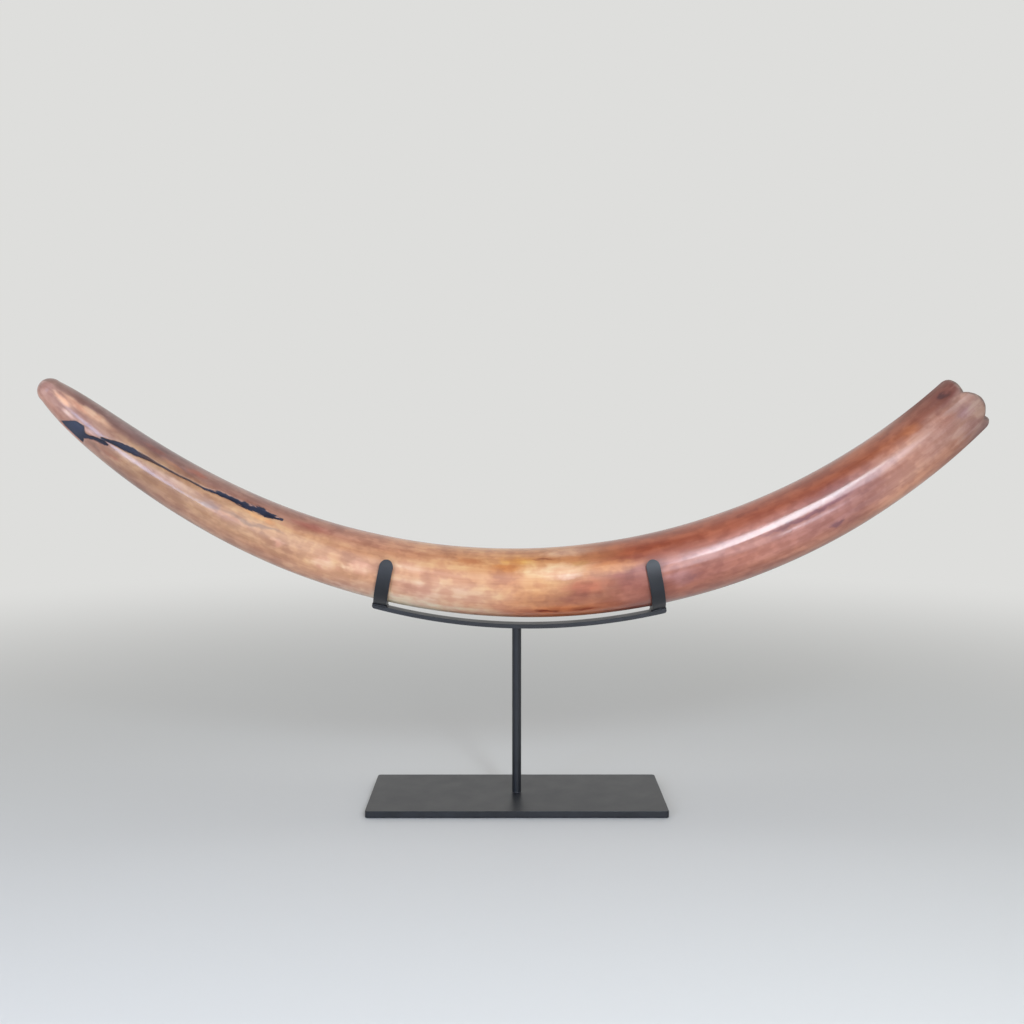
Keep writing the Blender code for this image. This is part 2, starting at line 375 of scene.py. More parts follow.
def roll_bar(name, radius, first, last, width, thickness, rounded, matrix):
    """A flat bar rolled from angle first to last, counted from local +Z towards +Y, in its place."""
    length = radius * (last - first)
    bar = cut_blank(name, length, width, rounded)
    ends = [max(min(v.co.x, length - v.co.x), 0.0) for v in bar.data.vertices]
    run_tree(bar, rolling_tree, {"Inner radius": radius, "First angle": first, "Paint": powder_coat})
    bar.data.transform(matrix)
    wall = bar.modifiers.new("thickness", "SOLIDIFY")
    wall.thickness = thickness
    wall.offset = 1.0
    if not rounded:
        kept = bar.vertex_groups.new(name="thickness")
        for number, from_end in enumerate(ends):
            short = max(BAR_END_ROUNDING - from_end, 0.0)
            depth = thickness - BAR_END_ROUNDING + math.sqrt(BAR_END_ROUNDING**2 - short**2)
            kept.add([number], depth / thickness, "REPLACE")
        wall.vertex_group = kept.name
    round_edges(bar, BAR_EDGE_ROUNDING)
    return bar


rolling_tree = make_rolling_tree()


def strap_depth(s):
    """How far below the tusk's axis the bar's top lies at a strap."""
    return float(tusk_radius(s)) + STRAP_CLEARANCE + STRAP_THICKNESS + CONTACT_GAP


def make_strap(name, s):
    """A strap that comes up on both sides to a little above the middle of the tusk."""
    end = math.radians(90.0) - STRAP_RISE
    inner = float(tusk_radius(s)) + STRAP_CLEARANCE
    return roll_bar(
        name, inner, end, 2.0 * math.pi - end, STRAP_WIDTH, STRAP_THICKNESS, True, tusk_frame(s))


def make_cradle_bar():
    """The arc that passes under both straps and over the post."""
    feet = []
    for s in STRAP_STATIONS.values():
        foot = tusk_frame(s) @ Vector((0.0, 0.0, -strap_depth(s)))
        feet.append(np.array((foot.x, foot.z)))
    low = np.array((0.0, BAR_LOW_TOP))
    chords = np.array([foot - low for foot in feet])
    reaches = np.array([(foot @ foot - low @ low) / 2.0 for foot in feet])
    centre = np.linalg.solve(chords, reaches)
    radius = float(np.linalg.norm(centre - low))
    spare = (STRAP_WIDTH / 2.0 + BAR_OVERHANG) / radius
    left_lean = math.asin((centre[0] - feet[0][0]) / radius) + spare
    right_lean = math.asin((feet[1][0] - centre[0]) / radius) + spare
    lengthwise = Matrix.Rotation(math.radians(90.0), 4, "Z")
    return roll_bar(
        "bar", radius, math.pi - left_lean, math.pi + right_lean, BAR_WIDTH, BAR_THICKNESS, False,
        Matrix.Translation((centre[0], 0.0, centre[1])) @ lengthwise)


bar = make_cradle_bar()
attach(bar, "root")
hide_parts("cradle_bar")


def make_weld_tree():
    """Nodes that lay a bead of weld round a strap's foot, slightly uneven along its way."""
    tree, given = start_tree("Weld bead", {
        "Start": "Geometry", "Length": "Float", "Width": "Float", "Bead radius": "Float",
        "Ripple": "Float", "Seed": "Float", "Paint": "Material"}, "Bead")
    outline = put(tree, "GeometryNodeCurvePrimitiveQuadrilateral", {
        "Width": given["Length"], "Height": given["Width"]})
    turned = put(tree, "GeometryNodeFilletCurve", {
        "Curve": outline, "Radius": WELD_CORNER, "Count": WELD_CORNER_POINTS}, mode="POLY")
    path = put(tree, "GeometryNodeResampleCurve", {"Curve": turned, "Length": WELD_STEP}, mode="LENGTH")
    profile = put(tree, "GeometryNodeCurvePrimitiveCircle", {
        "Radius": given["Bead radius"], "Resolution": WELD_SIDES}, mode="RADIUS")
    bead = put(tree, "GeometryNodeCurveToMesh", {"Curve": path, "Profile Curve": profile})
    noise = put(tree, "ShaderNodeTexNoise", {
        "W": given["Seed"], "Scale": 1.0 / WELD_RIPPLE_LENGTH}, noise_dimensions="4D")
    uneven = put(tree, "ShaderNodeMath", {0: noise, 1: 0.5}, operation="SUBTRACT")
    height = put(tree, "ShaderNodeMath", {0: uneven, 1: given["Ripple"]}, operation="MULTIPLY")
    lift = put(tree, "ShaderNodeVectorMath", {
        0: put(tree, "GeometryNodeInputNormal"), "Scale": height}, operation="SCALE")
    rippled = put(tree, "GeometryNodeSetPosition", {"Geometry": bead, "Offset": lift})
    smooth = put(tree, "GeometryNodeSetShadeSmooth", {"Geometry": rippled})
    end_tree(tree, smooth, given["Paint"], "Bead")
    return tree


weld_tree = make_weld_tree()


def make_weld(name, s):
    """The bead that closes the joint between a strap's foot and the bar."""
    weld = new_piece(name, bpy.data.meshes.new(name))
    run_tree(weld, weld_tree, {
        "Length": STRAP_WIDTH, "Width": BAR_WIDTH - WELD_RADIUS, "Bead radius": WELD_RADIUS,
        "Ripple": WELD_RIPPLE, "Seed": 100.0 * s, "Paint": powder_coat})
    depth = strap_depth(s) - WELD_SINK
    weld.data.transform(tusk_frame(s) @ Matrix.Translation((0.0, 0.0, -depth)))
    return weld


for node_name, station in STRAP_STATIONS.items():
    strap = make_strap(node_name.replace("strap_", "holder_"), station)
    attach(strap, "root")
    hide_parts(node_name)
    weld = make_weld(node_name.replace("strap_", "weld_"), station)
    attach(weld, "root")


# --- Tusk ---------------------------------------------------------------------------------
# One mammoth tusk, dug from the ground and polished: dentine stained brown, red and ochre by
# minerals, with an old dark crack near the tip and a broken, hollow root end left unpolished.

RIM_WALL = 0.012
RIM_ROUNDING = 0.006
RIM_BLEND = 0.045

# Lobes of the broken edge: (angle, how far it stands out, half its width), in degrees and metres.
RIM_LOBES = (
    (88.0, 0.0072, 49.0),
    (4.0, 0.0094, 33.0),
    (-57.0, 0.0052, 24.0),
    (-112.0, 0.0078, 34.0),
    (-176.0, 0.0050, 36.0),
    (137.0, 0.0035, 20.0),
)
RIM_LOBE_FULLNESS = 0.8
RIM_POLISH_END = math.radians(60.0)
CAVITY_DEPTH = 0.085
CAVITY_POWER = 0.85

# The tusk's mesh: rings along it, closest at the crack, and columns round it, closest in front.
TIP_RINGS = 18
RIM_RINGS = 12
CAVITY_RINGS = 30
CRACKED_END, CRACKED_STEP = -0.280, 0.0016
PLAIN_END, PLAIN_STEP = 0.530, 0.0034
ROOT_STEP = 0.0020
FRONT_START, FRONT_END, FRONT_STEP = -62.0, 66.0, 1.28
BACK_COLUMNS = 76

# Dark openings in the skin as (s, lowest angle, highest angle), in metres and degrees; 0 degrees
# faces -Y and 90 is the top. A chip under the tip, the start of the crack, and the crack itself.
CHIP = (
    (-0.5800, -95.0, -80.0), (-0.5750, -95.0, -51.0), (-0.5680, -95.0, -28.0),
    (-0.5610, -95.0, -11.0), (-0.5504, -95.0, -8.0), (-0.5445, -95.0, -22.0),
    (-0.5415, -95.0, -50.0), (-0.5390, -95.0, -90.0),
)
CRACK_START = (
    (-0.5450, -44.0, -22.0), (-0.5400, -35.0, -21.5), (-0.5350, -26.0, -14.0),
    (-0.5290, -20.5, -9.0), (-0.5220, -16.5, -6.0), (-0.5150, -11.0, -6.5),
)
CRACK = (
    (-0.5270, -7.0, -3.0), (-0.5180, -2.6, 6.4), (-0.5080, 0.6, 14.4), (-0.4970, 4.0, 20.4),
    (-0.4850, 8.6, 23.4), (-0.4760, 12.6, 24.6), (-0.4660, 17.4, 25.4), (-0.4550, 20.0, 25.8),
    (-0.4400, 22.0, 27.2), (-0.4250, 24.2, 29.0), (-0.4140, 26.4, 30.8), (-0.3935, 26.4, 32.4),
    (-0.3760, 30.2, 41.0), (-0.3630, 32.2, 42.6), (-0.3500, 31.4, 43.6), (-0.3365, 30.6, 44.6),
    (-0.3250, 32.0, 48.0), (-0.3140, 33.0, 45.6), (-0.3050, 34.4, 44.0), (-0.2985, 36.6, 41.6),
    (-0.2935, 38.8, 40.6),
)
CLEFT_FAR = 0.020

# On the root side a shallow hollow runs along the skin, as old tusks have; its line is (s, angle).
HOLLOW_LINE = ((0.230, 2.0), (0.340, 3.0), (0.430, 3.0))
HOLLOW_FADES = ((0.230, 0.0), (0.310, 1.0), (0.370, 1.0), (0.430, 0.0))
HOLLOW_HALF_WIDTH = 0.0072


def rim_height(angle):
    """How far the broken edge stands out at each angle around the tusk, in degrees."""
    height = np.zeros_like(angle)
    for centre, lobe_height, half_width in RIM_LOBES:
        away = np.abs((angle - centre + 180.0) % 360.0 - 180.0)
        near = np.cos(math.pi * np.minimum(away, half_width) / (2.0 * half_width))
        height += lobe_height * np.clip(near, 0.0, None)**RIM_LOBE_FULLNESS
    return height


def cleft_distance(s, angle, radius):
    """Signed distance along the skin to the nearest dark opening, negative inside it."""
    nearest = np.full(s.shape, CLEFT_FAR)
    for outline in (CHIP, CRACK_START, CRACK):
        places, lowest, highest = np.array(outline).T
        middle = np.interp(s, places, (lowest + highest) / 2.0)
        half = np.interp(s, places, (highest - lowest) / 2.0)
        distance = np.radians(np.abs(angle - middle) - half) * radius
        distance[(s < places[0]) | (s > places[-1])] = CLEFT_FAR
        nearest = np.minimum(nearest, distance)
    return nearest


def hollow_depth(s, angle, radius):
    """The hollow's depth across and along the skin, from 0 to 1."""
    line = np.interp(s, *np.array(HOLLOW_LINE).T)
    away = np.minimum(np.abs(np.radians(angle - line) * radius), HOLLOW_HALF_WIDTH)
    across = np.cos(math.pi * away / (2.0 * HOLLOW_HALF_WIDTH))**2
    return across * np.interp(s, *np.array(HOLLOW_FADES).T, left=0.0, right=0.0)


def tusk_rings():
    """Rings of the tusk drawn out straight: s, radius, share of the lobes, and brokenness."""
    tip_radius = float(tusk_radius(-TIP_REACH))
    lean = np.radians(90.0) * np.arange(TIP_RINGS) / TIP_RINGS
    none = np.zeros_like(lean)
    cap = np.stack(
        (-TIP_REACH - tip_radius * np.cos(lean), tip_radius * np.sin(lean), none, none), axis=1)
    rim_start = ROOT_REACH - RIM_ROUNDING
    stations = np.concatenate((
        np.arange(-TIP_REACH, CRACKED_END, CRACKED_STEP),
        np.arange(CRACKED_END, PLAIN_END, PLAIN_STEP),
        np.arange(PLAIN_END, rim_start, ROOT_STEP), [rim_start]))
    share = np.clip((stations - rim_start + RIM_BLEND) / RIM_BLEND, 0.0, 1.0)**2
    body = np.stack((stations, tusk_radius(stations), share, np.zeros_like(share)), axis=1)
    lean = np.radians(180.0) * np.arange(1, RIM_RINGS + 1) / (RIM_RINGS + 1)
    wall_middle = ROOT_RADIUS - RIM_WALL / 2.0
    rim = np.stack((
        rim_start + RIM_ROUNDING * np.sin(lean), wall_middle + RIM_WALL / 2.0 * np.cos(lean),
        np.ones_like(lean), np.clip(lean / RIM_POLISH_END, 0.0, 1.0)), axis=1)
    depth = np.arange(CAVITY_RINGS + 1) / CAVITY_RINGS
    cavity = np.stack((
        rim_start - CAVITY_DEPTH * depth, (ROOT_RADIUS - RIM_WALL) * (1.0 - depth)**CAVITY_POWER,
        (1.0 - depth)**2, 1.0 + depth), axis=1)
    return np.concatenate((cap, body, rim, cavity))


def tusk_angles():
    """Angles of the mesh's columns, closer together over the front where the crack runs."""
    front = np.arange(FRONT_START, FRONT_END, FRONT_STEP)
    back = np.linspace(FRONT_END, FRONT_START + 360.0, BACK_COLUMNS, endpoint=False)
    return np.concatenate((front, back))


def make_straight_tusk():
    """The tusk drawn out straight along X. Each point also knows how far it is from a cleft, how
    deep in the hollow, and how far over the broken rim (1) and down the cavity (up to 2)."""
    rings = tusk_rings()
    angles = tusk_angles()
    sides = len(angles)
    s, radius, share, broken = (column[1:-1, None] for column in rings.T)
    s = s + share * rim_height(angles)
    s, radius, broken, angle = np.broadcast_arrays(s, radius, broken, angles)
    turn = np.radians(angle)
    points = np.stack((s, -radius * np.cos(turn), radius * np.sin(turn)), axis=2).reshape(-1, 3)
    first = np.array([[rings[0, 0], 0.0, 0.0]])
    last = np.array([[rings[-1, 0], 0.0, 0.0]])
    points = np.concatenate((first, points, last))
    cleft = cleft_distance(s, angle, radius)
    cleft[broken > 0.0] = CLEFT_FAR
    cleft = np.concatenate(([CLEFT_FAR], cleft.ravel(), [CLEFT_FAR]))
    hollow = hollow_depth(s, angle, radius) * (broken == 0.0)
    hollow = np.concatenate(([0.0], hollow.ravel(), [0.0]))
    broken = np.concatenate(([0.0], broken.ravel(), [2.0]))
    rows = len(rings) - 2
    column = np.arange(sides)
    beside = (column + 1) % sides
    row = 1 + sides * np.arange(rows - 1)[:, None]
    quads = np.stack((row + column, row + sides + column, row + sides + beside, row + beside), axis=2)
    end = 1 + sides * (rows - 1)
    tip_fan = np.stack((np.zeros_like(column), 1 + column, 1 + beside), axis=1)
    cavity_end = np.full_like(column, len(points) - 1)
    floor_fan = np.stack((end + column, cavity_end, end + beside), axis=1)
    mesh = bpy.data.meshes.new("tusk")
    faces = quads.reshape(-1, 4).tolist() + tip_fan.tolist() + floor_fan.tolist()
    mesh.from_pydata(points.tolist(), [], faces)
    mesh.shade_smooth()
    for name, values in (("cleft", cleft), ("broken", broken), ("hollow", hollow)):
        mesh.attributes.new(name, "FLOAT", "POINT").data.foreach_set("value", values)
    return new_piece("mammoth_tusk", mesh)


def make_bending_tree():
    """Nodes that raise the skin's relief on the straight tusk and bend it along its centreline."""
    SWELLS_PER_METRE = (9.0, 22.0, 22.0)
    FLUTES_PER_METRE = (8.0, 95.0, 95.0)
    CRUMBS_PER_METRE = 140.0
    CLEFT_LIP, CLEFT_FLOOR = 0.0006, -0.0022
    tree, given = start_tree("Tusk grown along its curve", {
        "Straight tusk": "Geometry", "Centreline": "Object", "Centreline start": "Float",
        "Swelling": "Float", "Fluting": "Float", "Cleft depth": "Float", "Broken edge": "Float",
        "Hollow depth": "Float", "Seed": "Float", "Ivory": "Material"}, "Tusk")
    place = put(tree, "GeometryNodeInputPosition")
    cleft, broken, hollow = [
        put(tree, "GeometryNodeInputNamedAttribute", {"Name": name})
        for name in ("cleft", "broken", "hollow")]
    kept = put(tree, "GeometryNodeStoreNamedAttribute", {
        "Geometry": given["Straight tusk"], "Name": "straight", "Value": place},
        data_type="FLOAT_VECTOR", domain="POINT")

    swell, flute = [
        put(tree, "ShaderNodeTexNoise", {
            "Vector": put(tree, "ShaderNodeVectorMath", {0: place, 1: waves}, operation="MULTIPLY"),
            "W": given["Seed"], "Scale": 1.0, "Detail": 1.0}, noise_dimensions="4D")
        for waves in (SWELLS_PER_METRE, FLUTES_PER_METRE)]
    crumble = put(tree, "ShaderNodeTexNoise", {
        "Vector": place, "W": given["Seed"], "Scale": CRUMBS_PER_METRE, "Detail": 3.0},
        noise_dimensions="4D")
    rough = put(tree, "ShaderNodeMapRange", {"Value": broken, "From Min": 0.0, "From Max": 1.0})
    crumbling = put(tree, "ShaderNodeMath", {
        0: rough, 1: given["Broken edge"]}, operation="MULTIPLY")
    opened = put(tree, "ShaderNodeMapRange", {
        "Value": cleft, "From Min": CLEFT_LIP, "From Max": CLEFT_FLOOR},
        interpolation_type="SMOOTHSTEP")
    cleft_sinks, hollow_sinks = [
        put(tree, "ShaderNodeMath", {0: given[name], 1: -1.0}, operation="MULTIPLY")
        for name in ("Cleft depth", "Hollow depth")]
    relief = 0.0
    for pattern, height, level in (
            (swell, given["Swelling"], 0.5),
            (flute, given["Fluting"], 0.5),
            (crumble, crumbling, 0.5),
            (opened, cleft_sinks, 0.0),
            (hollow, hollow_sinks, 0.0)):
        centred = put(tree, "ShaderNodeMath", {0: pattern, 1: level}, operation="SUBTRACT")
        relief = put(tree, "ShaderNodeMath", {
            0: centred, 1: height, 2: relief}, operation="MULTIPLY_ADD")
    lift = put(tree, "ShaderNodeVectorMath", {
        0: put(tree, "GeometryNodeInputNormal"), "Scale": relief}, operation="SCALE")
    raised = put(tree, "GeometryNodeSetPosition", {"Geometry": kept, "Offset": lift})

    flat = put(tree, "ShaderNodeSeparateXYZ", {0: place}).outputs
    curve = put(tree, "GeometryNodeObjectInfo", {
        "Object": given["Centreline"]}, transform_space="ORIGINAL")
    length = put(tree, "ShaderNodeMath", {
        0: flat["X"], 1: given["Centreline start"]}, operation="SUBTRACT")
    sample = put(tree, "GeometryNodeSampleCurve", {
        "Curves": curve.outputs["Geometry"], "Length": length}, mode="LENGTH", use_all_curves=True)
    along = sample.outputs["Tangent"]
    steep = put(tree, "ShaderNodeSeparateXYZ", {0: along}).outputs["Z"]
    leaning = put(tree, "ShaderNodeVectorMath", {0: along, "Scale": steep}, operation="SCALE")
    upright = put(tree, "ShaderNodeVectorMath", {
        0: (0.0, 0.0, 1.0), 1: leaning}, operation="SUBTRACT")
    up = put(tree, "ShaderNodeVectorMath", {0: upright}, operation="NORMALIZE")
    back = put(tree, "ShaderNodeVectorMath", {0: up, 1: along}, operation="CROSS_PRODUCT")
    to_back = put(tree, "ShaderNodeVectorMath", {0: back, "Scale": flat["Y"]}, operation="SCALE")
    to_top = put(tree, "ShaderNodeVectorMath", {0: up, "Scale": flat["Z"]}, operation="SCALE")
    beside = put(tree, "ShaderNodeVectorMath", {
        0: sample.outputs["Position"], 1: to_back}, operation="ADD")
    bent_place = put(tree, "ShaderNodeVectorMath", {0: beside, 1: to_top}, operation="ADD")
    bent = put(tree, "GeometryNodeSetPosition", {"Geometry": raised, "Position": bent_place})
    end_tree(tree, bent, given["Ivory"], "Tusk")
    return tree


def make_centreline_curve():
    """The centreline as a curve object, only for the bending tree."""
    curve = bpy.data.curves.new("centreline", "CURVE")
    curve.dimensions = "3D"
    spline = curve.splines.new("POLY")
    spline.points.add(CENTRELINE_POINTS - 1)
    for point, place in zip(spline.points, centre_path):
        point.co = (*place, 1.0)
    guide = bpy.data.objects.new("centreline", curve)
    bpy.context.scene.collection.objects.link(guide)
    return guide


# Colours of the skin from the tip (0) to the root end (1): facing front, on top and underneath.
# The colours underneath are partly the tusk's own and partly painted light: they are made paler to
# stand in for light thrown up from the floor.
FRONT_COLOURS = (
    (0.00, "#A6837A"), (0.12, "#9B7A5B"), (0.24, "#AF8866"), (0.42, "#C2946D"), (0.53, "#CA9866"),
    (0.61, "#854738"), (0.72, "#A66D5C"), (0.84, "#93645F"), (0.92, "#AF8471"), (1.00, "#91796F"),
)
TOP_COLOURS = (
    (0.00, "#8B6E65"), (0.10, "#745856"), (0.35, "#AB7D66"), (0.50, "#C39363"), (0.62, "#924E31"),
    (0.76, "#96533C"), (0.90, "#925337"), (1.00, "#77554F"),
)
UNDER_COLOURS_WITH_PAINTED_BOUNCE = (
    (0.00, "#B48979"), (0.10, "#977665"), (0.30, "#BA8D71"), (0.42, "#DEC9B3"), (0.54, "#C3794D"),
    (0.62, "#8E5242"), (0.92, "#B27A5F"), (1.00, "#866C69"),
)

# Also from the tip to the root end: the colours of old dirt in the chip and the crack, how frayed
# the dirt's edge is, and how much the growth bands show.
DIRT_COLOURS = (
    (0.045, "#343A4C"), (0.058, "#22222E"), (0.10, "#1E2032"), (0.118, "#48322F"),
    (0.165, "#44302F"), (0.19, "#12162C"), (0.30, "#0B0F26"),
)
DIRT_FRAYING = ((0.110, 0.45), (0.125, 0.15), (0.170, 0.15), (0.200, 0.90))
BANDS_SHOW = ((0.25, 0.25), (0.32, 1.0), (0.50, 1.0), (0.55, 0.35))

# Stains of the skin, and a few painted highlights and one painted dark reflection, marked below:
# (s, angle, half length, half height, lean, colour, strength), in metres, degrees around the tusk
# and degrees of slope. Each is a soft streaky patch, only colour.
STAINS_AND_PAINTED_LIGHT = (
    # Pale cream near the tip: partly the ivory's own colour, partly a painted highlight.
    (-0.590, 12.0, 0.014, 0.0075, -4.0, "#F0D2B4", 0.9),
    (-0.574, -11.0, 0.011, 0.005, 0.0, "#DABDB0", 0.7),
    (-0.572, 26.0, 0.018, 0.008, 0.0, "#D0AA8E", 0.85),
    (-0.547, 32.0, 0.024, 0.0075, 4.0, "#DAB494", 0.75),
    (-0.546, -12.0, 0.014, 0.004, 12.0, "#CDB3AA", 0.7),
    (-0.527, -33.0, 0.014, 0.006, 0.0, "#806456", 0.7),
    (-0.505, -27.0, 0.012, 0.005, 0.0, "#9A6450", 0.5),
    (-0.468, 52.0, 0.012, 0.005, 0.0, "#8E5A50", 0.5),
    # A pale strip along the glint's line below the crack: partly bleached ivory, partly a painted sheen.
    (-0.445, 4.0, 0.045, 0.006, 8.0, "#B89A8E", 0.5),
    (-0.440, 43.0, 0.012, 0.004, 0.0, "#A87858", 0.5),
    (-0.411, 54.0, 0.010, 0.006, 0.0, "#9A5A48", 0.6),
    (-0.380, 4.5, 0.015, 0.005, 0.0, "#A1948E", 0.7),
    (-0.355, -1.0, 0.018, 0.006, 6.0, "#C49C80", 0.6),
    (-0.338, 6.5, 0.020, 0.0032, -6.0, "#8C7262", 0.8),
    (-0.319, 25.5, 0.018, 0.0035, 0.0, "#CE9868", 0.75),
    (-0.309, 9.5, 0.019, 0.0030, 14.0, "#876A5A", 0.8),
    (-0.293, -10.0, 0.007, 0.006, 0.0, "#DDB89A", 0.6),
    (-0.276, 32.0, 0.014, 0.004, 6.0, "#A0705A", 0.6),
    (-0.256, 48.0, 0.022, 0.007, 6.0, "#8C4E42", 0.75),
    (-0.230, -13.0, 0.014, 0.009, 0.0, "#D1A289", 0.7),
    (-0.195, -3.0, 0.014, 0.010, 0.0, "#E2C2A2", 0.75),
    (-0.088, -17.0, 0.070, 0.013, 0.0, "#CEAF99", 0.65),
    (-0.130, 18.0, 0.018, 0.007, 0.0, "#D6AA92", 0.5),
    (-0.062, 42.0, 0.016, 0.005, 0.0, "#A8683E", 0.7),
    (-0.020, 32.0, 0.016, 0.005, 0.0, "#C48644", 0.7),
    (-0.003, 46.0, 0.018, 0.006, 0.0, "#CB954E", 0.8),
    (0.026, 49.0, 0.016, 0.0018, -2.0, "#93562E", 0.9),
    # Two pale cream patches in the middle, on the line where the gleam runs on: partly pale ivory,
    # partly painted highlight.
    (0.044, 25.0, 0.040, 0.0080, 0.0, "#E0B794", 0.85),
    (0.056, 15.5, 0.018, 0.0036, 0.0, "#DDB8A4", 0.5),
    (0.074, 36.0, 0.010, 0.004, 0.0, "#A9824F", 0.5),
    (0.058, 62.0, 0.030, 0.0065, 0.0, "#C6A488", 0.7),
    (0.030, -23.0, 0.024, 0.009, 4.0, "#A8714E", 0.6),
    (0.076, -4.0, 0.026, 0.009, 4.0, "#A2583A", 0.85),
    (0.064, -22.0, 0.024, 0.009, 6.0, "#8E4E3A", 0.7),
    (0.027, -47.0, 0.012, 0.0024, 0.0, "#7C2810", 0.9),
    (0.072, -47.5, 0.014, 0.0032, 0.0, "#8A3A1E", 0.8),
    (0.108, 22.0, 0.036, 0.0070, 0.0, "#BE8458", 0.8),
    (0.123, -27.0, 0.016, 0.009, 0.0, "#B07662", 0.45),
    (0.158, 47.0, 0.030, 0.006, 0.0, "#84391F", 0.6),
    (0.207, 41.0, 0.020, 0.006, 0.0, "#84422F", 0.6),
    (0.185, -15.0, 0.016, 0.010, 0.0, "#93686A", 0.6),
    # A long thin dark purple line just under the right gleam: painted dark reflection along the hollow's
    # upper side.
    (0.345, 8.0, 0.060, 0.003, 0.0, "#6E4250", 0.8),
    (0.374, -25.0, 0.008, 0.0045, 0.0, "#6A404C", 0.8),
    (0.470, 58.0, 0.018, 0.008, 0.0, "#7C3F2A", 0.5),
    (0.500, 42.0, 0.016, 0.008, 0.0, "#A9683F", 0.6),
    (0.525, -30.0, 0.014, 0.010, 0.0, "#A97C66", 0.5),
    (0.540, 20.0, 0.014, 0.010, 0.0, "#A77A66", 0.6),
    (0.565, 8.0, 0.013, 0.009, 0.0, "#84646A", 0.6),
    (0.577, 26.0, 0.010, 0.008, 0.0, "#A98A7E", 0.6),
    (0.560, -22.0, 0.012, 0.010, 0.0, "#876466", 0.5),
    (0.566, 62.0, 0.020, 0.016, 0.0, "#6C3E36", 0.9),
    (0.564, 60.0, 0.008, 0.0065, 0.0, "#43282A", 0.9),
)
PATCH_INNER_EDGE, PATCH_OUTER_EDGE = 0.35, 1.50

# Patterns of the skin: (length along the tusk, width round it, detail), in metres.
PATTERNS = {
    "grain": (0.040, 0.0018, 1.0),
    "streak": (0.070, 0.0075, 1.0),
    "mottle": (0.017, 0.011, 2.0),
    "band": (0.021, 0.040, 1.0),
    "cloud": (0.070, 0.034, 2.0),
    "fray": (0.012, 0.0035, 3.0),
    "speck": (0.0022, 0.0014, 2.0),
}

# How a pattern tones the colour under it: (pattern, darkest, lightest, lowest, highest value).
TONES = (
    ("cloud", "#B3ABAB", "#C8C8C4", 0.36, 0.64),
    ("mottle", "#B4AEAC", "#C5C5C3", 0.42, 0.58),
    ("streak", "#B7B0AC", "#C2C3C4", 0.36, 0.64),
    ("grain", "#BAB8B7", "#BEBEBF", 0.36, 0.64),
)


